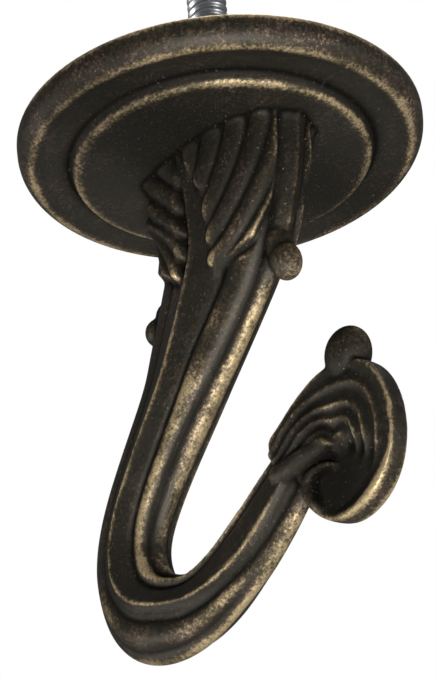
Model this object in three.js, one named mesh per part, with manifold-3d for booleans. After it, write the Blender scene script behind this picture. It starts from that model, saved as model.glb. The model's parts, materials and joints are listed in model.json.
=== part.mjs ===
// Decorative cast ceiling hook with its hidden fixing: a threaded rod and a spring toggle.
// Millimetres, +Z up. The origin is the centre of the plate's flat back, which lies on the ceiling.
// The hook hangs below in the XZ plane and opens towards +X. The toggle stands above, in the ceiling.
import * as THREE from "three";
import { mergeVertices } from "three/addons/utils/BufferGeometryUtils.js";
import Module from "manifold-3d";

// Ceiling plate
const PLATE_R = 24;
const RIM_FACE_Z = -3.5;
const RIM_FILLET = 2;
const DISC_R = 17.6;
const DISC_FACE_Z = -4.7;
const DISC_FILLET = 0.6;

// Hook arm: centre line in XZ, with half depth in the hook's plane and half width across it
const ARM_STATIONS = [
  { x: 1.9, z: -3, depth: 11.4, width: 6.3 },
  { x: 1.7, z: -8, depth: 10.9, width: 5.9 },
  { x: 0.5, z: -13, depth: 10.2, width: 5.1 },
  { x: -2.4, z: -18.4, depth: 9.3, width: 4.3 },
  { x: -8.2, z: -26.5, depth: 7.3, width: 4 },
  { x: -12.3, z: -31.8, depth: 6, width: 4 },
  { x: -19.6, z: -40.5, depth: 5.4, width: 3.7 },
  { x: -22, z: -47.8, depth: 5.5, width: 3.6 },
  { x: -19.7, z: -53.5, depth: 5.5, width: 3.6 },
  { x: -14.5, z: -56.4, depth: 4.7, width: 3.2 },
  { x: -8, z: -55.8, depth: 4.3, width: 2.9 },
  { x: 0, z: -51.9, depth: 4.4, width: 2.6 },
  { x: 6.4, z: -47.5, depth: 3.9, width: 2.3 },
  { x: 10.8, z: -44.6, depth: 3, width: 1.6 },
];
const ARM_STEPS = 44;
const ARM_SIDES = 40;
const FLUTES = 10;
const FLUTE_DEPTH = 0.28;
const PLATE_SIDES = 72;
const RIM_STEPS = 6;
const DISC_STEPS = 3;

// Scroll at the hook's tip: a leaf rolled on itself, drawn as a rounded slab with a bowl sunk in each face
const SCROLL_OUTLINE = [
  { x: 4.7, z: -45.2 },
  { x: 4.9, z: -43.5 },
  { x: 8.3, z: -40.9 },
  { x: 13.4, z: -38.4 },
  { x: 19.6, z: -39.6 },
  { x: 22.8, z: -44.6 },
  { x: 22.7, z: -50.2 },
  { x: 19.4, z: -54.8 },
  { x: 14, z: -56.1 },
  { x: 9.5, z: -53.8 },
  { x: 8.3, z: -50.2 },
  { x: 6.2, z: -47.6 },
];
const SCROLL_HALF = 1.7;
const SCROLL_EDGE = 1;
const SCROLL_EDGE_STEPS = 3;
const SCROLL_POINTS = 48;
const BOWL = { x: 15, y: 2.3, z: -50, rx: 5.6, ry: 1.5, rz: 4.6 };

// Bud on top of the scroll, and the two round knops on the arm's edges
const BUD = { x: 16.7, z: -37.5, rx: 2.5, ry: 2.5, rz: 3 };
const KNOPS = [
  { x: 8.2, z: -21.6, r: 2.2 },
  { x: -13.8, z: -20.1, r: 1.8 },
];

// Threaded rod, nominal 4.83 mm, screwed into the plate
const ROD_R = 2.41;
const ROD_BOTTOM = -9;
const ROD_TOP = 42.5;
const ROD_CHAMFER = 0.5;
const ROD_HOLE_R = ROD_R + 0.3;
const ROD_HOLE_END = -9.6;

// Spring toggle
const TOGGLE_Z = 34;
const TOGGLE_TURN = THREE.MathUtils.degToRad(45);
const NUT_HALF_ALONG = 3.2;
const NUT_HALF_ACROSS = 3.2;
const NUT_HALF_HEIGHT = 3;
const NUT_BORE_R = ROD_R + 0.2;
const TRUNNION_R = 1.5;
const TRUNNION_END = 8.5;
const WING_LENGTH = 20;
const WING_INNER = 3.4;
const WING_SHEET = 0.8;
const WING_ROOF = 3.7;
const WING_EAR_R = 2.7;
const WING_TIP_EDGE = 2.2;
const WING_TIP_HALF = 3.2;
const WING_SHOULDER = 2.4;
const WING_EAR_FROM = THREE.MathUtils.degToRad(45);
const WING_EAR_TO = THREE.MathUtils.degToRad(288);
const WING_FULL_WIDTH_TO = 5;
const WING_GAP_TO_PIN = 0.2;
const WING_NEAR_HALF = 6.9;
const WING_FAR_HALF = 8;
const WIRE_R = 0.4;
const COIL_R = 2.15;
const COIL_START = 3.7;
const COIL_END = 5.5;
const COIL_TURNS = 2;
const LEG_LENGTH = 12;
const LEG_HEIGHT = 3.1;
const LEG_SHARE = 0.3;
const WIRE_SIDES = 6;
const SPRING_STEPS = 60;

// Facets round a rod or a pin, and the reach of a block that cuts right through a piece
const ROUND_SIDES = 32;
const PIN_SIDES = 24;
const CUT = 60;

const wasm = await Module();
wasm.setup();

const bronze = new THREE.MeshStandardMaterial({ color: 0x3a352c, roughness: 0.45, metalness: 0.85 });
const zinc = new THREE.MeshStandardMaterial({ color: 0xb4b8bc, roughness: 0.35, metalness: 0.95 });
const springSteel = new THREE.MeshStandardMaterial({ color: 0x8c9094, roughness: 0.3, metalness: 0.95 });

function toSolid(geometry) {
  const bare = geometry.index ? geometry.toNonIndexed() : geometry.clone();
  bare.deleteAttribute("normal");
  bare.deleteAttribute("uv");
  const merged = mergeVertices(bare, 1e-4);
  const kept = [];
  const corners = merged.index.array;
  for (let i = 0; i < corners.length; i += 3) {
    const [a, b, c] = [corners[i], corners[i + 1], corners[i + 2]];
    if (a !== b && b !== c && c !== a) kept.push(a, b, c);
  }
  const mesh = new wasm.Mesh({
    numProp: 3,
    vertProperties: new Float32Array(merged.attributes.position.array),
    triVerts: new Uint32Array(kept),
  });
  return new wasm.Manifold(mesh);
}

function toGeometry(solid) {
  const mesh = solid.getMesh();
  const geometry = new THREE.BufferGeometry();
  geometry.setAttribute("position", new THREE.BufferAttribute(new Float32Array(mesh.vertProperties), 3));
  geometry.setIndex(new THREE.BufferAttribute(new Uint32Array(mesh.triVerts), 1));
  geometry.computeVertexNormals();
  return geometry;
}

function unite(geometries) {
  return geometries.map(toSolid).reduce((joined, solid) => joined.add(solid));
}

// A closed loft: rings of equal size, joined side to side, with a fan at each end.
function loft(rings) {
  const sides = rings[0].length;
  const positions = rings.flat().flatMap((p) => [p.x, p.y, p.z]);
  const faces = [];
  for (let i = 0; i + 1 < rings.length; i += 1) {
    for (let j = 0; j < sides; j += 1) {
      const a = i * sides + j;
      const b = i * sides + ((j + 1) % sides);
      faces.push(a, a + sides, b, b, a + sides, b + sides);
    }
  }
  for (const [ring, flip] of [[0, false], [rings.length - 1, true]]) {
    const middle = new THREE.Vector3();
    rings[ring].forEach((p) => middle.addScaledVector(p, 1 / sides));
    const centre = positions.length / 3;
    positions.push(middle.x, middle.y, middle.z);
    for (let j = 0; j < sides; j += 1) {
      const a = ring * sides + j;
      const b = ring * sides + ((j + 1) % sides);
      faces.push(...(flip ? [centre, b, a] : [centre, a, b]));
    }
  }
  const geometry = new THREE.BufferGeometry();
  geometry.setAttribute("position", new THREE.Float32BufferAttribute(positions, 3));
  geometry.setIndex(faces);
  return geometry;
}

function arcPoints(cx, cy, r, from, to, steps) {
  const points = [];
  for (let i = 0; i <= steps; i += 1) {
    const angle = from + ((to - from) * i) / steps;
    points.push(new THREE.Vector2(cx + r * Math.cos(angle), cy + r * Math.sin(angle)));
  }
  return points;
}

function plateGeometry() {
  const rimArc = arcPoints(PLATE_R - RIM_FILLET, RIM_FACE_Z + RIM_FILLET, RIM_FILLET, 0, -Math.PI / 2, RIM_STEPS);
  const discArc = arcPoints(
    DISC_R - DISC_FILLET, DISC_FACE_Z + DISC_FILLET, DISC_FILLET, 0, -Math.PI / 2, DISC_STEPS);
  const profile = [
    new THREE.Vector2(0, 0),
    new THREE.Vector2(PLATE_R, 0),
    ...rimArc,
    new THREE.Vector2(DISC_R, RIM_FACE_Z),
    ...discArc,
    new THREE.Vector2(0, DISC_FACE_Z),
  ];
  return new THREE.LatheGeometry(profile.reverse(), PLATE_SIDES).rotateX(Math.PI / 2);
}

function armGeometry() {
  const line = new THREE.CatmullRomCurve3(ARM_STATIONS.map((s) => new THREE.Vector3(s.x, 0, s.z)));
  const sizes = new THREE.CatmullRomCurve3(ARM_STATIONS.map((s) => new THREE.Vector3(s.depth, s.width, 0)));
  const rings = [];
  for (let i = 0; i <= ARM_STEPS; i += 1) {
    const t = i / ARM_STEPS;
    const centre = line.getPoint(t);
    const along = line.getTangent(t);
    const size = sizes.getPoint(t);
    const inward = new THREE.Vector3(-along.z, 0, along.x);
    const ring = [];
    for (let j = 0; j < ARM_SIDES; j += 1) {
      const angle = (2 * Math.PI * j) / ARM_SIDES;
      const proud = 1 + (FLUTE_DEPTH * (Math.cos(FLUTES * angle) - 1)) / size.y / 2;
      const point = centre.clone().addScaledVector(inward, size.x * proud * Math.cos(angle));
      point.y = size.y * proud * Math.sin(angle);
      ring.push(point);
    }
    rings.push(ring);
  }
  return loft(rings);
}

function scrollGeometry() {
  const line = new THREE.CatmullRomCurve3(
    SCROLL_OUTLINE.map((p) => new THREE.Vector3(p.x, p.z, 0)), true);
  const outline = new THREE.Shape(
    line.getPoints(SCROLL_POINTS).slice(1).map((p) => new THREE.Vector2(p.x, p.y)));
  const flat = SCROLL_HALF - SCROLL_EDGE;
  const slab = new THREE.ExtrudeGeometry(outline, {
    depth: 2 * flat, bevelThickness: SCROLL_EDGE, bevelSize: SCROLL_EDGE, bevelOffset: -SCROLL_EDGE,
    bevelSegments: SCROLL_EDGE_STEPS,
  });
  return slab.rotateX(Math.PI / 2).translate(0, flat, 0);
}

function ball(x, y, z, rx, ry, rz) {
  return new THREE.SphereGeometry(1, 20, 14).scale(rx, ry, rz).translate(x, y, z);
}

function hookGeometry() {
  const bowls = [-1, 1].map((side) =>
    ball(BOWL.x, side * BOWL.y, BOWL.z, BOWL.rx, BOWL.ry, BOWL.rz));
  const scroll = bowls.reduce((left, bowl) => left.subtract(toSolid(bowl)), toSolid(scrollGeometry()));
  const rest = unite([
    plateGeometry(),
    armGeometry(),
    ball(BUD.x, 0, BUD.z, BUD.rx, BUD.ry, BUD.rz),
    ...KNOPS.map((k) => ball(k.x, 0, k.z, k.r, k.r, k.r)),
  ]);
  const hole = cylinderZ(ROD_HOLE_R, ROD_HOLE_END, 1, ROUND_SIDES);
  return toGeometry(rest.add(scroll).subtract(toSolid(hole)));
}

function cylinderZ(r, from, to, sides) {
  const shape = new THREE.CylinderGeometry(r, r, to - from, sides);
  return shape.rotateX(Math.PI / 2).translate(0, 0, (from + to) / 2);
}

function rodGeometry() {
  const profile = [
    new THREE.Vector2(0, ROD_BOTTOM),
    new THREE.Vector2(ROD_R - ROD_CHAMFER, ROD_BOTTOM),
    new THREE.Vector2(ROD_R, ROD_BOTTOM + ROD_CHAMFER),
    new THREE.Vector2(ROD_R, ROD_TOP - ROD_CHAMFER),
    new THREE.Vector2(ROD_R - ROD_CHAMFER, ROD_TOP),
    new THREE.Vector2(0, ROD_TOP),
  ];
  return new THREE.LatheGeometry(profile, ROUND_SIDES).rotateX(Math.PI / 2);
}

// Toggle parts are drawn with the hinge axis along Y, through the toggle's own origin.
function nutGeometry() {
  const block = new THREE.BoxGeometry(2 * NUT_HALF_ALONG, 2 * NUT_HALF_ACROSS, 2 * NUT_HALF_HEIGHT);
  const trunnion = new THREE.CylinderGeometry(TRUNNION_R, TRUNNION_R, 2 * TRUNNION_END, PIN_SIDES);
  const bore = cylinderZ(NUT_BORE_R, -NUT_HALF_HEIGHT - 1, NUT_HALF_HEIGHT + 1, ROUND_SIDES);
  return toGeometry(unite([block, trunnion]).subtract(toSolid(bore)));
}

// One wing: a channel with a roof and two ears that sit on the nut's trunnions.
function wingGeometry(half, side) {
  const outline = new THREE.Shape();
  outline.moveTo(WING_LENGTH, WING_TIP_EDGE);
  outline.lineTo(WING_LENGTH, WING_ROOF + WING_SHEET);
  outline.lineTo(WING_INNER, WING_ROOF + WING_SHEET);
  outline.lineTo(WING_INNER, WING_ROOF);
  outline.lineTo(WING_SHOULDER, WING_TIP_EDGE);
  outline.absarc(0, 0, WING_EAR_R, WING_EAR_FROM, WING_EAR_TO, false);
  const ears = new THREE.ExtrudeGeometry(outline, {
    depth: 2 * half, bevelEnabled: false, curveSegments: 14,
  });
  ears.rotateX(Math.PI / 2).translate(0, half, 0);
  const inside = new THREE.BoxGeometry(CUT, 2 * (half - WING_SHEET), CUT);
  inside.translate(0, 0, WING_ROOF - CUT / 2);
  const pinHoleR = TRUNNION_R + WING_GAP_TO_PIN;
  const pinHole = new THREE.CylinderGeometry(pinHoleR, pinHoleR, CUT, PIN_SIDES);
  const solid = toSolid(ears)
    .subtract(toSolid(inside))
    .subtract(toSolid(pinHole))
    .intersect(wingTaper(half));
  return toGeometry(side < 0 ? solid.rotate([0, 0, 180]) : solid);
}

// Plan outline of a wing: full width over the ears, narrowing to a blunt round tip.
function wingTaper(half) {
  const plan = new THREE.Shape();
  plan.moveTo(-WING_FULL_WIDTH_TO, -half);
  plan.lineTo(WING_FULL_WIDTH_TO, -half);
  plan.lineTo(WING_LENGTH - WING_TIP_HALF, -WING_TIP_HALF);
  plan.absarc(WING_LENGTH - WING_TIP_HALF, 0, WING_TIP_HALF, -Math.PI / 2, Math.PI / 2, false);
  plan.lineTo(WING_FULL_WIDTH_TO, half);
  plan.lineTo(-WING_FULL_WIDTH_TO, half);
  const block = new THREE.ExtrudeGeometry(plan, { depth: CUT, bevelEnabled: false, curveSegments: 8 });
  return toSolid(block.translate(0, 0, -CUT / 2));
}

// The spring's wire: a straight leg under one wing, the coil round a trunnion, and a leg under the other.
class SpringCurve extends THREE.Curve {
  getPoint(t) {
    const rise = LEG_HEIGHT - COIL_R;
    if (t < LEG_SHARE) {
      const out = 1 - t / LEG_SHARE;
      return new THREE.Vector3(-LEG_LENGTH * out, COIL_START, COIL_R + rise * out);
    }
    if (t > 1 - LEG_SHARE) {
      const out = 1 - (1 - t) / LEG_SHARE;
      return new THREE.Vector3(LEG_LENGTH * out, COIL_END, COIL_R + rise * out);
    }
    const share = (t - LEG_SHARE) / (1 - 2 * LEG_SHARE);
    const angle = Math.PI / 2 - 2 * Math.PI * COIL_TURNS * share;
    const y = COIL_START + (COIL_END - COIL_START) * share;
    return new THREE.Vector3(COIL_R * Math.cos(angle), y, COIL_R * Math.sin(angle));
  }
}

function springGeometry() {
  const around = 2 * Math.PI * (1 - 1 / WIRE_SIDES);
  const section = new THREE.Shape(arcPoints(0, 0, WIRE_R, 0, around, WIRE_SIDES - 1));
  return new THREE.ExtrudeGeometry(section, {
    extrudePath: new SpringCurve(), steps: SPRING_STEPS, bevelEnabled: false,
  });
}

function named(name, geometry, material) {
  const mesh = new THREE.Mesh(geometry, material);
  mesh.name = name;
  return mesh;
}

const toggle = new THREE.Group();
toggle.position.z = TOGGLE_Z;
toggle.rotation.z = TOGGLE_TURN;
toggle.add(named("toggle_nut", nutGeometry(), zinc));
toggle.add(named("toggle_wing_near", wingGeometry(WING_NEAR_HALF, 1), zinc));
toggle.add(named("toggle_wing_far", wingGeometry(WING_FAR_HALF, -1), zinc));
toggle.add(named("toggle_spring", springGeometry(), springSteel));

const hook = new THREE.Group();
hook.add(named("hook_casting", hookGeometry(), bronze));
hook.add(named("threaded_rod", rodGeometry(), zinc));
hook.add(toggle);

export default hook;
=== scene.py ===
"""Looks for a cast swag hook hung from the ceiling by a threaded rod and a spring toggle.

Shapes are in millimetres until they are made. Some tables below were fitted or measured by separate programs
and then rounded: a comment at each says so. They aren't outlines drawn by hand.
"""

import json
import math

import bpy
import bmesh
import numpy as np
from mathutils import Matrix, Vector

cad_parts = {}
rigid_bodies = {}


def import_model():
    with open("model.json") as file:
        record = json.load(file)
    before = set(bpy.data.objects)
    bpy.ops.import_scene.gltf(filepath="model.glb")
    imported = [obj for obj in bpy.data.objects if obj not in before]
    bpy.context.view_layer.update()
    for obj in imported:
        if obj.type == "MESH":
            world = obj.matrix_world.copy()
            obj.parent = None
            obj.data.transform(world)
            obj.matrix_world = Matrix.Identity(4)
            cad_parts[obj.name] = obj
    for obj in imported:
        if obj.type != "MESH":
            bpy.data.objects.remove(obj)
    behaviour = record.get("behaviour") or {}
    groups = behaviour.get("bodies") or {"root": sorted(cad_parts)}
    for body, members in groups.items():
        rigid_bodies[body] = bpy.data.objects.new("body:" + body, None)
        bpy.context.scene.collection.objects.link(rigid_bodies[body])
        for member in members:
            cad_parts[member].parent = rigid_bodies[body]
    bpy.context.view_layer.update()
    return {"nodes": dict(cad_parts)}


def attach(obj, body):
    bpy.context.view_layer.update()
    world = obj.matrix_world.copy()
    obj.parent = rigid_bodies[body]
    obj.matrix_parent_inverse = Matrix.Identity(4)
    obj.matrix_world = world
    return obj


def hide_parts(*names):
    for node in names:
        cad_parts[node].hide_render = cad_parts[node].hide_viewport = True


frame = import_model()
MM = 0.001

# Size of the voxels that the hook is remeshed with.
VOXEL, VOXEL_QUICK = 0.17, 0.3
# Rounds of smoothing that its wear is measured by, at a fine and a broad scale.
WEAR_ROUNDS, WEAR_ROUNDS_QUICK = (10, 70), (3, 23)

# The plate: a turned disc with a rounded rim, a dished ring and a raised boss, as radius and height.
# The rim's and the boss's sizes were solved for by a separate program, along with the camera.
PLATE_PROFILE = [
    (23.88, 0.0), (23.98, -0.15), (23.98, -0.7), (23.95, -1.4), (23.8, -2.1), (23.4, -2.8), (22.85, -3.32),
    (22.35, -3.53), (21.85, -3.48), (21.1, -3.3), (20.0, -3.2), (19.0, -3.15), (18.3, -3.2),
    (17.95, -3.35), (17.75, -3.7), (17.6, -4.2), (17.35, -4.52), (16.95, -4.68), (16.3, -4.7), (15.0, -4.62),
    (12.0, -4.58), (8.0, -4.6),
]
PLATE_BOTTOM = -4.6
PLATE_STEPS = 190
PLATE_SIDES = 900
HOLE_R = 2.71
HOLE_END = -2.8
SEAM_WIDTH = 0.16
SEAM_HEIGHT = 0.11

# The arm: centre line x and z, half depth in the hook's plane, half width across it, squareness of its back.
# Rows 4 to 13 come from a least-squares fit by a separate program, rounded, with two rows then moved by hand.
ARM = np.array([
    (1.9, -3.0, 11.4, 6.35, 5.0), (1.7, -8.0, 10.9, 5.9, 3.6), (0.5, -13.0, 10.2, 5.1, 2.6),
    (-2.4, -18.4, 9.3, 4.25, 2.1), (-8.2, -26.5, 7.35, 3.95, 2.0), (-12.3, -31.8, 5.95, 3.95, 2.0),
    (-19.6, -40.5, 5.35, 3.7, 2.0), (-22.0, -47.8, 5.45, 3.65, 2.0), (-19.7, -53.5, 5.5, 3.6, 2.0),
    (-14.3, -56.12, 4.95, 3.2, 2.0), (-7.9, -55.65, 4.5, 2.9, 2.0), (0.0, -51.8, 4.45, 2.6, 2.0),
    (6.4, -47.5, 3.9, 2.3, 2.0), (10.8, -44.6, 3.0, 1.6, 2.0),
])
ARM_RINGS = 620
ARM_SIDES = 360
# Lines that run along the arm: (station, degrees round from the inner edge), the same on both sides.
# Many rows are the rounded output of a separate program that measured where these lines run.
CREST_SIDE = [(0, 104), (2, 102), (3, 97), (3.5, 94), (4.2, 91), (7.3, 90), (8, 82), (8.5, 77), (9.2, 78),
              (9.9, 91), (10.3, 102), (10.8, 111), (11.2, 111), (12, 104), (13, 100)]
GROOVE_INNER = [(0, 21), (3, 22), (5.2, 29), (6.5, 25), (8, 22), (13, 18)]
GROOVE_MIDDLE = [(0, 57), (3.0, 58), (3.9, 66), (4.9, 62), (6, 58), (6.6, 54), (7.5, 53), (8.4, 45),
                 (9.3, 38), (10.6, 34), (13, 30)]
GROOVE_BACK = [(0, 128), (3, 126), (6, 119), (7.2, 112), (7.7, 105), (8.3, 101), (8.8, 98), (9.5, 108),
               (10.2, 119), (10.7, 129), (11.1, 136), (13, 139)]
CREST_BACK = [(0, 142), (7.2, 135), (7.7, 124), (8.3, 123), (8.9, 133), (9.4, 144), (10.1, 151), (13, 153)]
GROOVE_OUTER = [(0, 152), (7.2, 143), (7.7, 137), (8.2, 149), (8.9, 147), (9.4, 153), (10.2, 157), (13, 158)]

# The leaf: degrees round the arm from one barb to the next, and where the first starts. Then its lower edges,
# as lengths along the arm against degrees: the barbs' tips beside the vein, and the edge over the inner ribs.
# Most of the points of both edges were measured by the same kind of program as the lines above.
LEAF_PITCH = 19.0
LEAF_START = 3.0
LEAF_TIP_LENGTHS = [0, 5.5, 7.5, 11.2, 15.3, 17.1, 19]
LEAF_TIP_DEGREES = [104, 100, 91, 87, 77, 70, 64]
LEAF_EDGE_DEGREES = [20, 22, 24, 30, 35, 49, 62, 70, 90]
LEAF_EDGE_LENGTHS = [6.0, 8.0, 9.7, 11.3, 12.8, 14.0, 15.6, 17.2, 17.4]

# Round knops on the arm's two edges, each with a small neck: centre and radii.
KNOPS = [((8.75, 0.0, -21.8), (1.85, 1.9, 2.35)), ((8.1, 0.0, -19.4), (1.5, 1.8, 3.0)),
         ((-13.8, 0.0, -20.1), (1.8, 1.8, 1.8)), ((-12.5, 0.0, -19.0), (1.3, 1.3, 2.2))]
# Places that polish doesn't reach: x, z, radius, share of the wear that is left.
SHELTERED = [(16.5, -37.2, 4.2, 0.45), (9.4, -51.0, 3.4, 0.35), (8.9, -47.0, 4.6, 0.3),
             (-13.8, -20.1, 3.2, 0.35), (-7.0, -11.0, 8.0, 0.4), (8.6, -22.0, 3.2, 0.42),
             (8.0, -11.0, 7.0, 0.6)]
# Painted shade: less rubbed gold on the narrow side that faces along the hook's plane, which the light from
# below leaves dark: x, z, radius, share of the wear that is left.
PAINTED_SHADE_SIDES = [(22.0, -45.0, 7.5, 0.15)]
# Places that are rubbed more than their shape says: x, z, radius, how much.
RUBBED = [(-2.5, -27.5, 5.0, 0.15), (-8.0, -33.5, 5.0, 0.12), (-14.5, -41.0, 5.0, 0.08)]
# Grime and painted shade: places darkened towards black, with dulled reflections: x, z, radius, how much.
GRIME_AND_PAINTED_SHADE = [(13.2, -50.9, 4.3, 0.75), (2.0, -8.5, 9.5, 0.55), (8.0, -11.0, 7.0, 0.5), (16.6, -36.6, 4.0, 0.4)]
# The bud on the scroll: centre, radii and lean in degrees.
BUD = ((16.65, 0.0, -37.55), (2.6, 2.5, 3.15), 28.0)

# The scroll: its outline in the hook's plane, clockwise from the tab on the arm. It was drawn up from the
# output of a separate program and then changed by hand.
SCROLL_CENTRE = (14.0, -47.4)
SCROLL_OUTLINE = [
    (4.6, -45.3), (4.75, -43.5), (6.25, -42.3), (8.15, -40.75), (10.5, -39.2), (13.4, -38.4), (16.6, -38.45),
    (19.55, -39.65), (21.6, -41.95), (22.65, -44.6), (23.0, -47.2), (22.6, -50.2), (21.35, -52.9), (19.4, -54.8),
    (16.85, -55.95), (14.1, -56.1), (11.6, -55.15), (9.7, -53.7), (8.7, -52.0), (8.5, -50.2), (7.2, -48.6),
    (5.6, -47.0),
]
BOWL_CENTRE = (13.0, -51.2)
SCROLL_ANGLES = 420
SCROLL_RINGS = 150
RIDGE_DEPTH = 0.42
# Where the ridges meet, as depths in from the outline, at these degrees round the scroll's centre.
RIDGE_DEGREES = [-60.0, -30, 0, 45, 90, 140, 165, 185]
RIDGE_LEVELS = [(2.7, 4.8, 6.3, 8.0), (2.6, 4.7, 6.2, 8.0), (2.5, 4.6, 6.0, 8.0), (2.6, 4.8, 6.4, 8.2),
                (2.5, 4.7, 6.3, 8.2), (1.4, 2.8, 4.3, 6.0), (1.6, 3.1, 4.8, 6.6), (1.9, 3.7, 5.6, 7.6)]
# The scroll's inner tongue, and the collar where it leaves the arm: a path on one side, with its radii.
# Both, like the ridges above, the knops and the bud, started from a program's readings and were moved by eye.
TONGUE = [(10.7, 0.5, -53.6), (9.6, 0.8, -52.5), (9.1, 1.0, -51.2), (9.2, 1.1, -49.9), (10.0, 1.15, -49.2),
          (11.1, 1.05, -48.9), (12.4, 0.85, -49.0), (13.7, 0.6, -49.5)]
TONGUE_RADII = [0.3, 0.55, 0.62, 0.6, 0.5, 0.42, 0.34, 0.15]
COLLAR = [(5.0, 1.6, -47.4), (6.2, 1.6, -47.7), (8.2, 1.5, -47.4), (10.3, 1.3, -47.0), (12.4, 0.9, -46.7),
          (14.2, 0.5, -46.8)]
COLLAR_RADII = [1.15, 1.3, 1.25, 1.1, 0.85, 0.4]

# The fixing above the plate.
ROD_R = 2.41
ROD_TOP = 42.5
ROD_CHAMFER = 0.5
THREAD_PITCH = 1.058
THREAD_DEPTH = 0.36
RINGS_PER_PITCH = 9
ROD_SIDES = 54
TOGGLE_Z = 34.0
TOGGLE_TURN = 45.0
NUT_HALF = 3.2
NUT_HALF_HEIGHT = 3.0
NUT_BORE_R = 2.61
NUT_SIDES = 96
TRUNNION_R = 1.5
TRUNNION_END = 8.5
WIRE_R = 0.4
COIL_R = 2.15
COIL_START, COIL_END = 3.7, 5.5
COIL_TURNS = 2
COIL_POINTS = 130
WIRE_SIDES = 16
LEG_STEPS = 60
LEG_LENGTH, LEG_HEIGHT = 12.0, 3.1
WING_BEVEL = 0.16

# The camera, in degrees, radians, metres and millimetres of lens, as a separate program solved for it.
CAMERA_AZIMUTH, CAMERA_ELEVATION = 47.5, -33.586
CAMERA_ROLL, CAMERA_YAW, CAMERA_PITCH = 0.10139, -0.000786, -0.0814
CAMERA_DISTANCE = 0.2962
CAMERA_LENS = 132.55

# The studio, in metres. The world and the floor look paler to the camera than they light the hook.
FLOOR_Z = -0.45
FLOOR_SIZE = 6
WORLD_LIGHT, WORLD_SEEN = 0.12, 1.0
FLOOR_GLOW = 0.75
LAMP_TARGET = (0, 0, -0.03)


def spline(knots, values, at):
    """Natural cubic spline through rows of values, read at each of at."""
    x = np.asarray(knots, float)
    y = np.asarray(values, float)
    n = len(x)
    h = np.diff(x)
    a = np.zeros((n, n))
    b = np.zeros((n,) + y.shape[1:])
    a[0, 0] = a[-1, -1] = 1
    for i in range(1, n - 1):
        a[i, i - 1: i + 2] = h[i - 1], 2 * (h[i - 1] + h[i]), h[i]
        b[i] = 6 * ((y[i + 1] - y[i]) / h[i] - (y[i] - y[i - 1]) / h[i - 1])
    m = np.linalg.solve(a, b)
    at = np.asarray(at, float)
    k = np.clip(np.searchsorted(x, at) - 1, 0, n - 2)
    t = at - x[k]
    hk = h[k]
    if y.ndim > 1:
        t, hk = t[:, None], hk[:, None]
    return (y[k] + t * ((y[k + 1] - y[k]) / hk - hk * (2 * m[k] + m[k + 1]) / 6)
            + t ** 2 * m[k] / 2 + t ** 3 * (m[k + 1] - m[k]) / (6 * hk))


def smooth(low, high, v):
    t = np.clip((np.asarray(v, float) - low) / (high - low), 0, 1)
    return t * t * (3 - 2 * t)


def mix(a, b, t):
    return a + (b - a) * t


def along(table, u):
    t = np.asarray(table, float)
    fine = np.interp(u, t[:, 0], t[:, 1])
    k = np.ones(21) / 21
    return np.convolve(np.pad(fine, 10, mode="edge"), k, mode="valid")


def make(name, vertices, faces, smooth_faces=True):
    mesh = bpy.data.meshes.new(name)
    mesh.from_pydata([tuple(v) for v in np.asarray(vertices) * MM], [], [tuple(f) for f in faces])
    mesh.validate()
    if smooth_faces:
        mesh.polygons.foreach_set("use_smooth", np.ones(len(mesh.polygons), bool))
    o = bpy.data.objects.new(name, mesh)
    bpy.context.scene.collection.objects.link(o)
    return o


def loft(name, rings):
    """A closed body through rings of the same number of points, capped by a fan at each end."""
    r = np.asarray(rings, float)
    n, m = r.shape[:2]
    v = np.vstack([r.reshape(-1, 3), r[0].mean(0), r[-1].mean(0)])
    i, j = np.meshgrid(np.arange(n - 1), np.arange(m), indexing="ij")
    a, b = i * m + j, i * m + (j + 1) % m
    quads = np.stack([a, b, b + m, a + m], -1).reshape(-1, 4).tolist()
    first = [(n * m, (k + 1) % m, k) for k in range(m)]
    last = [(n * m + 1, (n - 1) * m + k, (n - 1) * m + (k + 1) % m) for k in range(m)]
    o = make(name, v, quads + first + last)
    b = bmesh.new()
    b.from_mesh(o.data)
    bmesh.ops.recalc_face_normals(b, faces=b.faces)
    b.to_mesh(o.data)
    b.free()
    return o


def ellipsoid(name, centre, radii, lean=0.0, steps=72):
    """An ellipsoid whose own z axis leans by that many degrees towards +x."""
    lat = np.linspace(0.02, math.pi - 0.02, steps)
    lon = np.linspace(0, 2 * math.pi, steps * 2, endpoint=False)
    rx, ry, rz = radii
    rings = np.array([[(rx * math.sin(a) * math.cos(o), ry * math.sin(a) * math.sin(o), rz * math.cos(a))
                       for o in lon] for a in lat])
    c, k = math.cos(math.radians(lean)), math.sin(math.radians(lean))
    rings = rings @ np.array([[c, 0, -k], [0, 1, 0], [k, 0, c]]) + centre
    return loft(name, rings)


def tube(name, path, radii, sides=28, steps=140):
    """A round tube through path, with a radius at each point of it."""
    rows = np.column_stack([np.asarray(path, float), radii])
    p = spline(range(len(path)), rows, np.linspace(0, len(path) - 1, steps))
    c, r = p[:, :3], np.maximum(p[:, 3], 0.02)
    t = np.gradient(c, axis=0)
    t /= np.linalg.norm(t, axis=1)[:, None]
    side = np.cross(t, (0, 1, 0.001))
    side /= np.linalg.norm(side, axis=1)[:, None]
    up = np.cross(t, side)
    a = np.linspace(0, 2 * math.pi, sides, endpoint=False)
    end = np.clip(np.minimum(np.arange(steps), np.arange(steps)[::-1]) / (steps * 0.06), 0, 1)
    r = r * np.sqrt(1 - (1 - end) ** 2 + 1e-4)
    out = np.cos(a)[None, :, None] * side[:, None] + np.sin(a)[None, :, None] * up[:, None]
    rings = c[:, None] + r[:, None, None] * out
    return loft(name, rings)


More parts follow.
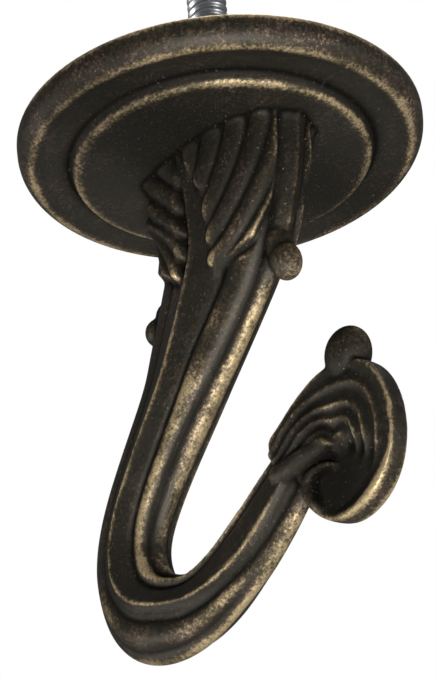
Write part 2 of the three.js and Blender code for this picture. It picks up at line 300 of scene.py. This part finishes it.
def ribs_on_arm(u, s, phi):
    """How far the arm's skin stands off its plain section.

    u is the station, s the length along the arm and phi the angle from the inner edge.
    """
    f = np.degrees(np.abs(phi))[None, :] + 0 * u[:, None]
    s = s[:, None] + 0 * f
    line = {k: along(t, u)[:, None] + 0 * f for k, t in {
        "side": CREST_SIDE, "inner": GROOVE_INNER, "middle": GROOVE_MIDDLE, "back": GROOVE_BACK,
        "crest": CREST_BACK, "outer": GROOVE_OUTER}.items()}

    def rib(low, high, deep_low, deep_high, top=0.0, round_=0.55):
        x = np.clip((f - low) / (high - low), 0, 1)
        ends = mix(deep_low, deep_high, x)
        return ends + (top - ends) * np.sin(math.pi * x) ** round_

    fade = smooth(-0.2, 1.2, 13 - u)[:, None] + 0 * f
    centre = rib(-line["inner"], line["inner"], -0.8, -0.8)
    second = rib(line["inner"], line["middle"], -0.8, -1.15)
    x = np.clip((f - line["middle"]) / (line["side"] - line["middle"]), 0, 1)
    flute = -0.5 - 0.65 * (1 - x) ** 6 + 0.62 * x ** 4
    x = np.clip((f - line["side"]) / (line["back"] - line["side"]), 0, 1)
    flank = -0.6 + 0.72 * (1 - x) ** 4 - 0.3 * x ** 6
    plain = rib(line["back"], 360 - line["back"], -0.9, -0.9, round_=0.42)
    split = np.where(f < line["outer"], rib(line["back"], line["outer"], -0.9, -0.75, -0.02),
                     rib(line["outer"], 360 - line["outer"], -0.75, -0.75, round_=0.5))
    k = (smooth(6.8, 7.6, u) * (1 - smooth(10.1, 10.9, u)))[:, None] + 0 * f
    back = mix(plain, split, k)
    h = np.select([f < line["inner"], f < line["middle"], f < line["side"], f < line["back"]],
                  [centre, second, flute, flank], back) * fade

    # The leaf that wraps the neck: round barbs that sweep down to the vein on both sides of it.
    vein = line["side"]
    mirrored = np.where(f > vein, 2 * vein - f, f)
    phase = (mirrored - (2.0 * s + 0.13 * s ** 2) - LEAF_START) / LEAF_PITCH
    x = phase - np.floor(phase)
    barb = np.sin(math.pi * x) ** 0.48
    tip = np.interp(s, LEAF_TIP_LENGTHS, LEAF_TIP_DEGREES) - 5 * (2 * x - 1) ** 2
    tip_edge = smooth(0, 1, (tip - mirrored) * 0.17 / 0.9)
    low = np.interp(f, LEAF_EDGE_DEGREES, LEAF_EDGE_LENGTHS)
    low_edge = smooth(0, 1, (low - s) / 0.9)
    right = tip_edge * low_edge * smooth(19, 22, f)
    leaf_right = mix(-0.35, 0.45, barb)
    tip_left = vein - 1 + 6 * smooth(4.5, 7.5, s) + 4 * (2 * x - 1) ** 2
    left = smooth(0, 1, (f - tip_left) * 0.17 / 0.8) * smooth(0, 1, (18.6 - s) / 0.9)
    swell = 1.7 * np.exp(-((s - 10.0) / 4.4) ** 2) * smooth(5, 35, f - vein)
    leaf_left = mix(-0.6, 0.3, barb) * (1 - 0.6 * smooth(25, 60, f - vein)) + 0.6 * smooth(8, 13, s) + swell
    strip = smooth(0, 1, (18.0 - s) / 3.0) * smooth(20, 24, f) * smooth(4.5, 7.5, s)
    side_strip = np.where(f < vein, -0.45 + 0.6 * np.clip((f - vein + 9) / 9, 0, 1) ** 2.5,
                          -0.7 + 0.85 * np.clip((vein + 7 - f) / 7, 0, 1) ** 2)
    above_edge = np.where(f < vein, smooth(0, 1, (low + 0.6 - s) / 0.6), 1)
    h = mix(h, side_strip, strip * smooth(0, 1, (18.2 - s) / 1.5) * above_edge)
    h = np.where(f < vein, mix(h, leaf_right, right), mix(h, leaf_left, left))

    # One broad rib, with a thin crest, runs down the inner edge from the plate to the knop.
    y = np.clip(f / 21, 0, 1)
    column = -0.6 + 0.72 * np.cos(y * math.pi / 2) ** 0.55 + 0.16 * np.exp(-(f / 2.6) ** 2)
    h = mix(h, column, (1 - smooth(20.5, 22.5, f)) * (1 - smooth(14.5, 16.5, s)))
    flare = 0.35 * np.exp(-np.clip(s - 1.6, 0, None) / 0.35)
    return h + flare * (s < 4)


def arm():
    u = np.linspace(0, len(ARM) - 1, ARM_RINGS)
    q = spline(range(len(ARM)), ARM, u)
    centre = np.stack([q[:, 0], 0 * u, q[:, 1]], 1)
    tangent = np.gradient(centre, axis=0)
    step = np.linalg.norm(tangent, axis=1)
    s = np.concatenate([[0], np.cumsum(np.linalg.norm(np.diff(centre, axis=0), axis=1))])
    tangent /= step[:, None]
    inward = np.stack([-tangent[:, 2], 0 * u, tangent[:, 0]], 1)
    phi = np.linspace(-math.pi, math.pi, ARM_SIDES, endpoint=False)
    n = np.maximum(q[:, 4], 2)[:, None]
    reach = (np.abs(np.cos(phi)) ** n + np.abs(np.sin(phi)) ** n) ** (-1 / n)
    reach = np.where(np.abs(phi)[None] > math.pi / 2, reach, 1.0)
    c, w = np.cos(phi) * reach, np.sin(phi) * reach
    x, y = q[:, 2, None] * c, q[:, 3, None] * w
    tx, ty = np.roll(x, -1, 1) - np.roll(x, 1, 1), np.roll(y, -1, 1) - np.roll(y, 1, 1)
    length = np.hypot(tx, ty)
    off = ribs_on_arm(u, s, phi)
    x, y = x + off * ty / length, y - off * tx / length
    rings = centre[:, None] + x[..., None] * inward[:, None] + y[..., None] * np.array([0, -1.0, 0])
    return loft("arm", rings)


def plate():
    p = np.array(PLATE_PROFILE)
    p = spline(range(len(p)), p, np.linspace(0, len(p) - 1, PLATE_STEPS))
    inside = [(0.01, HOLE_END), (HOLE_R - 0.2, HOLE_END), (HOLE_R, HOLE_END + 0.2), (HOLE_R, -0.35),
              (HOLE_R + 0.35, 0.0), (12.0, 0.0)]
    profile = inside + [tuple(v) for v in p] + [(0.01, PLATE_BOTTOM)]
    a = np.linspace(0, 2 * math.pi, PLATE_SIDES, endpoint=False)
    rings = np.array([[(r * math.cos(t), r * math.sin(t), z) for t in a] for r, z in profile])
    x, y = rings[..., 0], rings[..., 1]
    across = np.exp(-(y / SEAM_WIDTH) ** 2)
    seam = across * smooth(15.6, 16.2, x) * (1 - smooth(23.2, 23.8, x)) * (rings[..., 2] < -2.5)
    rings[..., 2] -= SEAM_HEIGHT * seam
    return loft("plate", rings)


def scroll():
    """The volute: a leaf rolled on itself, cupped on both faces, with ridges that follow its upper edge."""
    cx, cz = SCROLL_CENTRE
    pts = np.array(SCROLL_OUTLINE) - (cx, cz)
    ang = np.unwrap(np.arctan2(pts[:, 1], pts[:, 0]))
    rad = np.hypot(*pts.T)
    order = np.argsort(ang)
    ang, rad = ang[order], rad[order]
    ang3 = np.concatenate([ang - 2 * math.pi, ang, ang + 2 * math.pi])
    rad3 = np.tile(rad, 3)
    th = np.linspace(-math.pi, math.pi, SCROLL_ANGLES, endpoint=False)
    outer = spline(ang3, rad3, th)
    # The ridges run on past the collar's end, as if the upper edge went straight on there.
    (start_x, start_z), (end_x, end_z) = SCROLL_OUTLINE[1], SCROLL_OUTLINE[3]
    line_x, line_z = start_x - cx, start_z - cz
    slope = np.arctan2(end_z - start_z, end_x - start_x)
    off = line_x * math.sin(slope) - line_z * math.cos(slope)
    straight = off / np.minimum(np.cos(th) * math.sin(slope) - np.sin(th) * math.cos(slope), -0.35)
    share = np.linspace(0, 1, SCROLL_RINGS) ** 0.8
    r = outer[None] * share[:, None]
    w = outer[None] - r
    ridge_w = mix(outer, straight, smooth(140, 158, np.degrees(th)))[None] - r
    x, z = cx + r * np.cos(th), cz + r * np.sin(th)
    dx = x - BOWL_CENTRE[0]
    d = np.hypot(np.where(dx > 0, 0.62 * dx, dx), z - BOWL_CENTRE[1])
    deg = np.degrees(th)[None] + 0 * r
    cup = (0.42 + 0.93 * smooth(2.8, 5.0, d) + 0.35 * smooth(4.5, 8.0, d) * smooth(40, 90, deg)
           + 0.7 * smooth(110, 150, deg))
    read_at = np.clip(deg[0], RIDGE_DEGREES[0], RIDGE_DEGREES[-1])
    level = spline(RIDGE_DEGREES, RIDGE_LEVELS, read_at).T[:, None, :] + 0 * r
    level = np.concatenate([0 * level[:1] + 0.1, level, level[-1:] + 2.2])
    ridge = np.zeros_like(r)
    for low, high in zip(level[:-1], level[1:]):
        t = (ridge_w - low) / (high - low)
        ridge = np.where((t >= 0) & (t < 1), -np.sin(math.pi * np.clip(t, 0, 1)) ** 0.8, ridge)
    zone = smooth(-60, -20, deg) * (1 - smooth(176, 179, deg)) * (1 - smooth(0.1, 1.2, ridge_w - level[4]))
    lip = 0.12 * np.exp(-((w - 1.0) / 0.6) ** 2)
    h = cup + RIDGE_DEPTH * ridge * zone + lip
    edge = np.clip(w / 0.75, 0, 1)
    h = h * np.clip(1 - (1 - edge) ** 4, 0, 1) ** (1 / 4)
    near = np.stack([x, -h, z], -1)
    far = np.stack([x, h, z], -1)[::-1]
    return loft("scroll", np.concatenate([near, far[1:]]))


def mirrored_tubes(name, path, radii):
    return [tube(name, [(x, side * y, z) for x, y, z in path], radii) for side in (1, -1)]


def joined(name, objects):
    for o in bpy.context.view_layer.objects:
        o.select_set(False)
    for o in objects:
        o.select_set(True)
    bpy.context.view_layer.objects.active = objects[0]
    bpy.ops.object.join()
    o = bpy.context.view_layer.objects.active
    o.name = name
    return o


def apply_modifier(o, kind, **settings):
    m = o.modifiers.new(kind.lower(), kind)
    for key, value in settings.items():
        setattr(m, key, value)
    dg = bpy.context.evaluated_depsgraph_get()
    mesh = bpy.data.meshes.new_from_object(o.evaluated_get(dg))
    o.modifiers.clear()
    old = o.data
    o.data = mesh
    bpy.data.meshes.remove(old)
    return o


def relax(points, edges, rounds, weight=1.0):
    """Each vertex moved to the mean of its neighbours, that many times."""
    n = len(points)
    count = np.bincount(edges.ravel(), minlength=n)[:, None]
    p = points.copy()
    for _ in range(rounds):
        total = np.stack([np.bincount(edges[:, 0], p[edges[:, 1], k], n)
                          + np.bincount(edges[:, 1], p[edges[:, 0], k], n) for k in range(3)], 1)
        p = mix(p, total / np.maximum(count, 1), weight)
    return p


def read(mesh, kind, field, width, dtype):
    data = getattr(mesh, kind)
    out = np.zeros(len(data) * width, dtype)
    data.foreach_get(field, out)
    return out.reshape(-1, width) if width > 1 else out


def near_to(p, x, z, radius):
    return np.exp(-((p[:, 0] - x) ** 2 + (p[:, 2] - z) ** 2) ** 2 / radius ** 4)


def add_wear_and_shade(o, near, far, sheltered=(), sides=(), rubbed=(), deep=()):
    """Point attributes: wear is 1 on raised places that hands and polish reach, less on the narrow side that is
    given painted shade; hollow is 1 deep in grooves and in the listed dark places, for grime and painted shade.

    Both come from how far the surface stands off itself after near and after far rounds of smoothing.
    """
    mesh = o.data
    p = read(mesh, "vertices", "co", 3, np.float32).astype(float) / MM
    e = read(mesh, "edges", "vertices", 2, np.int32)
    n = read(mesh, "vertex_normals", "vector", 3, np.float32).astype(float)
    fine = ((p - relax(p, e, near)) * n).sum(1)
    broad = ((p - relax(p, e, far)) * n).sum(1)
    left = np.ones(len(p))
    for x, z, radius, share in sheltered:
        left *= 1 - (1 - share) * near_to(p, x, z, radius)
    # Painted shade: less rubbed gold on the narrow side that the light from below leaves dark.
    for x, z, radius, share in sides:
        left *= 1 - (1 - share) * near_to(p, x, z, radius) * (1 - smooth(0.3, 0.7, np.abs(n[:, 1])))
    more = sum(amount * near_to(p, x, z, radius) for x, z, radius, amount in rubbed) + 0 * left
    # Grime and painted shade in the listed places.
    listed_grime_and_shade = np.zeros(len(p))
    for x, z, radius, amount in deep:
        listed_grime_and_shade = np.maximum(listed_grime_and_shade, amount * near_to(p, x, z, radius))
    raised = 0.5 * smooth(0.0, 0.07, fine) + 0.5 * smooth(0.04, 0.34, broad)
    # Sunk places are darkened: grime and painted shade.
    sunk = 0.55 * smooth(0.0, 0.06, -fine) + 0.55 * smooth(0.02, 0.28, -broad)
    for name, values in {
        "wear": left * raised + more * smooth(-0.05, 0.1, broad),
        "hollow_grime_and_shade": np.maximum(sunk, listed_grime_and_shade),
    }.items():
        values = relax(np.stack([values] * 3, 1), e, 3)[:, 0]
        attribute = mesh.attributes.new(name, "FLOAT", "POINT")
        attribute.data.foreach_set("value", np.clip(values, 0, 1).astype(np.float32))


def cast_hook():
    pieces = [arm(), plate(), scroll()]
    pieces += [ellipsoid("knop", c, r) for c, r in KNOPS]
    pieces.append(ellipsoid("bud", *BUD))
    pieces += mirrored_tubes("tongue", TONGUE, TONGUE_RADII)
    pieces += mirrored_tubes("collar", COLLAR, COLLAR_RADII)
    hook = joined("cast_hook", pieces)
    voxel = VOXEL
    apply_modifier(hook, "REMESH", mode="VOXEL", voxel_size=voxel * MM, adaptivity=0.0)
    p = read(hook.data, "vertices", "co", 3, np.float32).astype(float)
    e = read(hook.data, "edges", "vertices", 2, np.int32)
    p = relax(p, e, 3, 0.6)
    hook.data.vertices.foreach_set("co", p.astype(np.float32).ravel())
    hook.data.update()
    hook.data.polygons.foreach_set("use_smooth", np.ones(len(hook.data.polygons), bool))
    near, far = WEAR_ROUNDS
    add_wear_and_shade(hook, near, far, SHELTERED, PAINTED_SHADE_SIDES, RUBBED, GRIME_AND_PAINTED_SHADE)
    return hook


def shader(name):
    m = bpy.data.materials.new(name)
    m.use_nodes = True
    m.node_tree.nodes.clear()
    tree = m.node_tree

    def node(kind, inputs=None, **settings):
        made = tree.nodes.new("ShaderNode" + kind)
        for key, value in settings.items():
            setattr(made, key, value)
        for key, value in (inputs or {}).items():
            if isinstance(value, bpy.types.NodeSocket):
                tree.links.new(value, made.inputs[key])
            else:
                made.inputs[key].default_value = value
        return made

    return m, node


def math_node(node, operation, a, b=0.0, c=0.0, clamp=False):
    return node("Math", {0: a, 1: b, 2: c}, operation=operation, use_clamp=clamp).outputs[0]


def ramp(node, value, low, high):
    inputs = {"Value": value, "From Min": low, "From Max": high}
    return node("MapRange", inputs, interpolation_type="SMOOTHSTEP").outputs[0]


def colour_mix(node, factor, a, b):
    made = node("Mix", data_type="RGBA")
    tree = made.id_data
    for index, value in ((0, factor), (6, a), (7, b)):
        if isinstance(value, bpy.types.NodeSocket):
            tree.links.new(value, made.inputs[index])
        else:
            made.inputs[index].default_value = value
    return made.outputs[2]


def bronze_material():
    """Near-black patina, rubbed through to brown and old brass on raised places, darkened and dulled in the
    hollows by grime and painted shade.
    """
    m, node = shader("antique_bronze_worn")
    tree = m.node_tree
    where = node("TexCoord").outputs["Object"]
    wear = node("Attribute", attribute_name="wear").outputs["Fac"]
    hollow_grime_and_shade = node("Attribute", attribute_name="hollow_grime_and_shade").outputs["Fac"]
    broad = node("TexNoise", {"Vector": where, "Scale": 170.0, "Detail": 4.0, "Roughness": 0.6}).outputs["Fac"]
    grain = node("TexNoise", {"Vector": where, "Scale": 2300.0, "Detail": 4.0, "Roughness": 0.85}).outputs["Fac"]
    fleck = node("TexNoise", {"Vector": where, "Scale": 5200.0, "Detail": 1.0, "Roughness": 0.5}).outputs["Fac"]
    mask = math_node(node, "MULTIPLY_ADD", broad, 1.4, -0.70)
    mask = math_node(node, "MULTIPLY_ADD", grain, 2.2, math_node(node, "ADD", mask, -1.10))
    mask = math_node(node, "ADD", mask, wear)
    rub = ramp(node, mask, 0.42, 1.25)
    brown = ramp(node, mask, 0.05, 0.70)
    dark = colour_mix(node, grain, (0.0035, 0.0032, 0.0025, 1), (0.018, 0.016, 0.0115, 1))
    rust = colour_mix(node, ramp(node, broad, 0.42, 0.62), (0.054, 0.040, 0.020, 1), (0.043, 0.027, 0.022, 1))
    warm = colour_mix(node, brown, dark, rust)
    colour = colour_mix(node, rub, warm, (0.52, 0.405, 0.225, 1))
    # Grime and painted shade: the hollows go near black.
    colour = colour_mix(node, hollow_grime_and_shade, colour, (0.003, 0.0028, 0.0023, 1))
    spots = ramp(node, fleck, 0.70, 0.80)
    colour = colour_mix(node, math_node(node, "MULTIPLY", spots, 0.4), colour, (0.40, 0.35, 0.26, 1))
    rough = math_node(node, "MULTIPLY_ADD", grain, 0.28, 0.24)
    rough = math_node(node, "MULTIPLY_ADD", hollow_grime_and_shade, 0.3, rough)
    metal = math_node(node, "MULTIPLY", rub, 0.85)
    # Painted shade: reflections are dimmed in the hollows.
    shine = math_node(node, "MULTIPLY_ADD", hollow_grime_and_shade, -0.26, 0.29, clamp=True)
    pits = node("Bump", {"Height": grain, "Strength": 0.5, "Distance": 0.00015}).outputs[0]
    waves = node("Bump", {"Height": broad, "Strength": 0.3, "Distance": 0.0006, "Normal": pits}).outputs[0]
    skin = node("BsdfPrincipled", {"Base Color": colour, "Roughness": rough, "Metallic": metal, "Normal": waves,
                                   "Specular IOR Level": shine, "Specular Tint": (1.0, 0.90, 0.76, 1)})
    tree.links.new(skin.outputs[0], node("OutputMaterial").inputs[0])
    return m


def bright_material(name, colour, roughness, scratch_scale):
    """Plated or drawn steel: bright on edges and crests, darkened and dulled in thread roots by grime and
    painted shade.
    """
    m, node = shader(name)
    tree = m.node_tree
    where = node("TexCoord").outputs["Object"]
    hollow_grime_and_shade = node("Attribute", attribute_name="hollow_grime_and_shade").outputs["Fac"]
    wear = node("Attribute", attribute_name="wear").outputs["Fac"]
    cloud = node("TexNoise", {"Vector": where, "Scale": 260.0, "Detail": 4.0, "Roughness": 0.6}).outputs["Fac"]
    lines = {"Vector": where, "Scale": scratch_scale, "Detail": 3.0, "Roughness": 0.7}
    scratch = node("TexNoise", lines).outputs["Fac"]
    light = tuple(min(1, c * 1.15) for c in colour)
    tint = colour_mix(node, cloud, (*colour, 1), (*light, 1))
    tint = colour_mix(node, math_node(node, "MULTIPLY", wear, 0.4), tint, (0.9, 0.9, 0.9, 1))
    # Grime and painted shade: the thread roots go dark grey.
    tint = colour_mix(node, hollow_grime_and_shade, tint, (0.13, 0.13, 0.12, 1))
    rough = math_node(node, "MULTIPLY_ADD", scratch, 0.3, roughness)
    rough = math_node(node, "MULTIPLY_ADD", hollow_grime_and_shade, 0.2, rough)
    pits = node("Bump", {"Height": scratch, "Strength": 0.25, "Distance": 0.00008}).outputs[0]
    skin = node("BsdfPrincipled", {"Base Color": tint, "Roughness": rough, "Metallic": 1.0, "Normal": pits})
    tree.links.new(skin.outputs[0], node("OutputMaterial").inputs[0])
    return m


def crisp(o, degrees=32):
    o.data.set_sharp_from_angle(angle=math.radians(degrees))
    return o


def place_toggle(o):
    turn = Matrix.Rotation(math.radians(TOGGLE_TURN), 4, "Z")
    o.data.transform(Matrix.Translation((0, 0, TOGGLE_Z * MM)) @ turn)
    return o


def rod():
    z = np.arange(HOLE_END + 0.05, ROD_TOP, THREAD_PITCH / RINGS_PER_PITCH)
    a = np.linspace(0, 2 * math.pi, ROD_SIDES, endpoint=False)
    turn = (z[:, None] / THREAD_PITCH - a[None] / (2 * math.pi)) % 1
    groove = np.clip((1 - np.abs(2 * turn - 1) - 0.14) / 0.72, 0, 1)
    r = ROD_R - THREAD_DEPTH * groove
    from_end = np.minimum(ROD_TOP - z, z - HOLE_END)[:, None]
    r = np.minimum(r, ROD_R - ROD_CHAMFER + np.clip(from_end, 0, ROD_CHAMFER))
    rings = np.stack([r * np.cos(a), r * np.sin(a), z[:, None] + 0 * r], -1)
    o = loft("rod_threaded", rings)
    add_wear_and_shade(o, 2, 8)
    return o


def nut():
    a = np.linspace(0, 2 * math.pi, NUT_SIDES, endpoint=False)
    square = NUT_HALF / (np.abs(np.cos(a)) ** 14 + np.abs(np.sin(a)) ** 14) ** (1 / 14)
    h = NUT_HALF_HEIGHT
    bore, bore_edge = NUT_BORE_R + 0 * a, NUT_BORE_R + 0.25 + 0 * a
    loops = [(bore, -h + 0.3), (bore_edge, -h), (square - 0.25, -h), (square, -h + 0.25),
             (square, h - 0.25), (square - 0.25, h), (bore_edge, h), (bore, h - 0.3)]
    rings = [np.stack([r * np.cos(a), r * np.sin(a), z + 0 * a], -1) for r, z in loops]
    n, m = len(rings), len(a)
    faces = [(i * m + j, i * m + (j + 1) % m, (i + 1) % n * m + (j + 1) % m, (i + 1) % n * m + j)
             for i in range(n) for j in range(m)]
    block = make("nut_block", np.concatenate(rings), faces)
    pins = []
    for side in (-1, 1):
        y = [2.9, TRUNNION_END - 0.9, TRUNNION_END - 0.35, TRUNNION_END - 0.1, TRUNNION_END]
        r = [TRUNNION_R, TRUNNION_R, TRUNNION_R - 0.02, TRUNNION_R - 0.3, TRUNNION_R - 0.8]
        b = np.linspace(0, 2 * math.pi, 48, endpoint=False)
        rings = [[(rr * math.cos(t), side * yy, rr * math.sin(t)) for t in b] for yy, rr in zip(y, r)]
        pins.append(loft("pin", rings))
    o = joined("nut_with_pins", [block] + pins)
    b = bmesh.new()
    b.from_mesh(o.data)
    bmesh.ops.recalc_face_normals(b, faces=b.faces)
    b.to_mesh(o.data)
    b.free()
    return place_toggle(crisp(o))


def spring():
    turns = np.linspace(0, 1, COIL_POINTS)
    angle = math.pi / 2 - 2 * math.pi * COIL_TURNS * turns
    y = mix(COIL_START, COIL_END, turns)
    path = np.stack([COIL_R * np.cos(angle), y, COIL_R * np.sin(angle)], 1)
    coil = tube("spring_coil", path, np.full(COIL_POINTS, WIRE_R), WIRE_SIDES, 2 * COIL_POINTS)
    legs = []
    for name, side, y in (("spring_leg_near", 1, COIL_END), ("spring_leg_far", -1, COIL_START)):
        path = [(0, y, COIL_R), (side * LEG_LENGTH * 0.33, y, mix(COIL_R, LEG_HEIGHT, 0.33)),
                (side * LEG_LENGTH * 0.66, y, mix(COIL_R, LEG_HEIGHT, 0.66)),
                (side * LEG_LENGTH, y, LEG_HEIGHT)]
        legs.append(tube(name, path, [WIRE_R] * 4, WIRE_SIDES, LEG_STEPS))
    return [place_toggle(o) for o in (coil, *legs)]


def wing(node, name):
    """The stamped wing with its edges broken."""
    o = bpy.data.objects.new(name, frame["nodes"][node].data.copy())
    bpy.context.scene.collection.objects.link(o)
    b = bmesh.new()
    b.from_mesh(o.data)
    bmesh.ops.remove_doubles(b, verts=b.verts, dist=2e-6)
    bmesh.ops.dissolve_limit(b, angle_limit=math.radians(2), verts=b.verts, edges=b.edges)
    b.to_mesh(o.data)
    b.free()
    apply_modifier(o, "BEVEL", width=WING_BEVEL * MM, segments=2, limit_method="ANGLE",
                   angle_limit=math.radians(40))
    o.data.polygons.foreach_set("use_smooth", np.ones(len(o.data.polygons), bool))
    return crisp(o)


def finish_piece(o, body, nodes, material):
    o.data.materials.clear()
    o.data.materials.append(material)
    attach(o, body)
    for n in nodes:
        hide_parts(n)


def camera():
    """The photographer's place: below the plate, in front and to the right."""
    azimuth, elevation = math.radians(CAMERA_AZIMUTH), math.radians(CAMERA_ELEVATION)
    level = math.cos(elevation)
    away = np.array([level * math.sin(azimuth), -level * math.cos(azimuth), math.sin(elevation)])
    right = np.array([math.cos(azimuth), math.sin(azimuth), 0.0])
    up = np.cross(right, -away)
    roll, yaw, pitch = CAMERA_ROLL, CAMERA_YAW, CAMERA_PITCH
    turn = np.array([[math.cos(roll), -math.sin(roll), 0], [math.sin(roll), math.cos(roll), 0], [0, 0, 1]])
    pan = np.array([[math.cos(yaw), 0, -math.sin(yaw)], [0, 1, 0], [math.sin(yaw), 0, math.cos(yaw)]])
    tilt = np.array([[1, 0, 0], [0, math.cos(pitch), -math.sin(pitch)],
                     [0, math.sin(pitch), math.cos(pitch)]])
    m = tilt @ pan @ turn @ np.array([right, up, -away])
    data = bpy.data.cameras.new("photo_camera")
    data.sensor_fit = "AUTO"
    data.sensor_width = 36
    data.lens = CAMERA_LENS
    data.clip_start, data.clip_end = 0.01, 20
    o = bpy.data.objects.new("photo_camera", data)
    bpy.context.scene.collection.objects.link(o)
    rotation = Matrix(np.array([m[0], m[1], -m[2]]).T.tolist())
    o.matrix_world = Matrix.Translation(Vector(away * CAMERA_DISTANCE)) @ rotation.to_4x4()
    bpy.context.scene.camera = o
    return o


def lamp(name, place, target, size, power):
    data = bpy.data.lights.new(name, "AREA")
    data.shape = "DISK"
    data.size = size
    data.energy = power
    o = bpy.data.objects.new(name, data)
    o.location = place
    o.rotation_euler = (Vector(target) - Vector(place)).to_track_quat("-Z", "Y").to_euler()
    bpy.context.scene.collection.objects.link(o)
    return o


def surroundings():
    world = bpy.data.worlds.new("studio")
    bpy.context.scene.world = world
    world.use_nodes = True
    tree = world.node_tree
    ray = tree.nodes.new("ShaderNodeLightPath")
    seen = tree.nodes.new("ShaderNodeMapRange")
    seen.inputs["To Min"].default_value = WORLD_LIGHT
    seen.inputs["To Max"].default_value = WORLD_SEEN
    tree.links.new(ray.outputs["Is Camera Ray"], seen.inputs["Value"])
    tree.links.new(seen.outputs[0], tree.nodes["Background"].inputs["Strength"])
    tree.nodes["Background"].inputs["Color"].default_value = (1, 1, 1, 1)
    bpy.context.scene.view_settings.view_transform = "Standard"
    bpy.ops.mesh.primitive_plane_add(size=FLOOR_SIZE, location=(0, 0, FLOOR_Z))
    floor = bpy.context.active_object
    floor.name = "floor"
    m, node = shader("floor_pale")
    paint = node("BsdfPrincipled", {"Base Color": (0.86, 0.86, 0.85, 1), "Roughness": 0.7}).outputs[0]
    glow = node("Emission", {"Color": (0.80, 0.80, 0.79, 1)}).outputs[0]
    seen_share = math_node(node, "MULTIPLY", node("LightPath").outputs["Is Camera Ray"], FLOOR_GLOW)
    pale = node("MixShader", {0: seen_share, 1: paint, 2: glow}).outputs[0]
    m.node_tree.links.new(pale, node("OutputMaterial").inputs[0])
    floor.data.materials.append(m)
    lamp("key", (0.33, -0.26, -0.40), LAMP_TARGET, 0.11, 4.2)
    lamp("side", (0.58, 0.22, -0.16), LAMP_TARGET, 0.16, 1.0)
    lamp("left", (-0.42, -0.42, -0.22), LAMP_TARGET, 0.20, 1.5)
    lamp("top", (-0.10, 0.15, 0.95), (0, 0, FLOOR_Z), 0.60, 6.0)


finish_piece(cast_hook(), "hook", ["hook_casting"], bronze_material())
zinc = bright_material("zinc_plate_bright", (0.52, 0.54, 0.56), 0.22, 2400.0)
steel = bright_material("spring_steel_bright", (0.36, 0.37, 0.38), 0.18, 3200.0)
finish_piece(rod(), "rod", ["threaded_rod"], zinc)
finish_piece(nut(), "nut", ["toggle_nut"], zinc)
coil, leg_near, leg_far = spring()
finish_piece(coil, "nut", ["toggle_spring"], steel)
finish_piece(leg_near, "wing_near", [], steel)
finish_piece(leg_far, "wing_far", [], steel)
finish_piece(wing("toggle_wing_near", "wing_near_stamped"), "wing_near", ["toggle_wing_near"], zinc)
finish_piece(wing("toggle_wing_far", "wing_far_stamped"), "wing_far", ["toggle_wing_far"], zinc)

surroundings()
camera()
